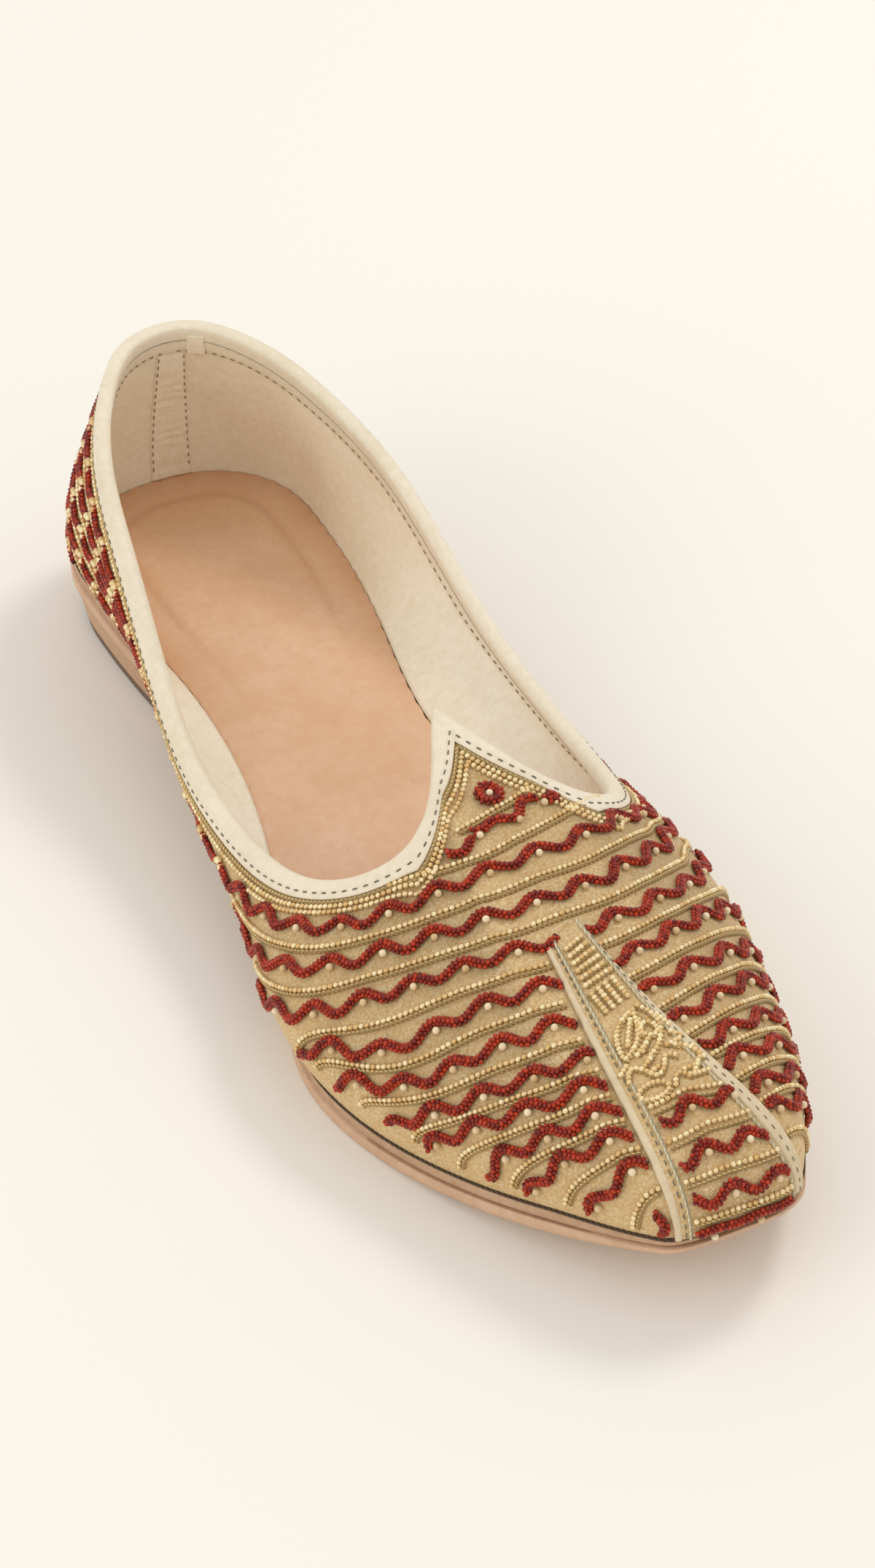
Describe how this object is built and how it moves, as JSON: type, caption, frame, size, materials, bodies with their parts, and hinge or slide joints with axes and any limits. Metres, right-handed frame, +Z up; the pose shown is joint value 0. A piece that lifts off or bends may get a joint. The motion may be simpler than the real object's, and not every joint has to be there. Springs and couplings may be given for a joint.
{
  "type": "mojari shoe",
  "caption": "Low slip-on mojari for the right foot: beaded cloth upper with a pointed throat, bound top line, toe band, layered leather sole and low heel.",
  "frame": {"origin": "middle of the shoe's box, on the plane that the heel and the forefoot stand on", "axes": "+Y from the toe to the heel, +X towards the inner side of the right foot, +Z up"},
  "size_m": [0.0986, 0.28, 0.0669],
  "materials": {
    "sole_leather": "tan sole leather with a burnished edge",
    "midsole_leather": "darker tan edge of the middle layer",
    "heel_leather": "tan leather heel block",
    "heel_rubber": "dark brown heel top piece",
    "insole_leather": "smooth peach-tan insole leather with fine grain",
    "gold_cloth": "gold metallic-thread cloth covered with rows of glass beads and cords",
    "cream_leather": "soft cream leather, stitched",
    "band_cloth": "pale gold beaded panel between two cream cords"
  },
  "bodies": {
    "root": {"outsole": "sole_leather", "midsole": "midsole_leather", "heel_block": "heel_leather", "heel_top_piece": "heel_rubber", "insole": "insole_leather", "upper": "gold_cloth", "topline_binding": "cream_leather", "toe_band": "band_cloth"}
  },
  "joints": []
}
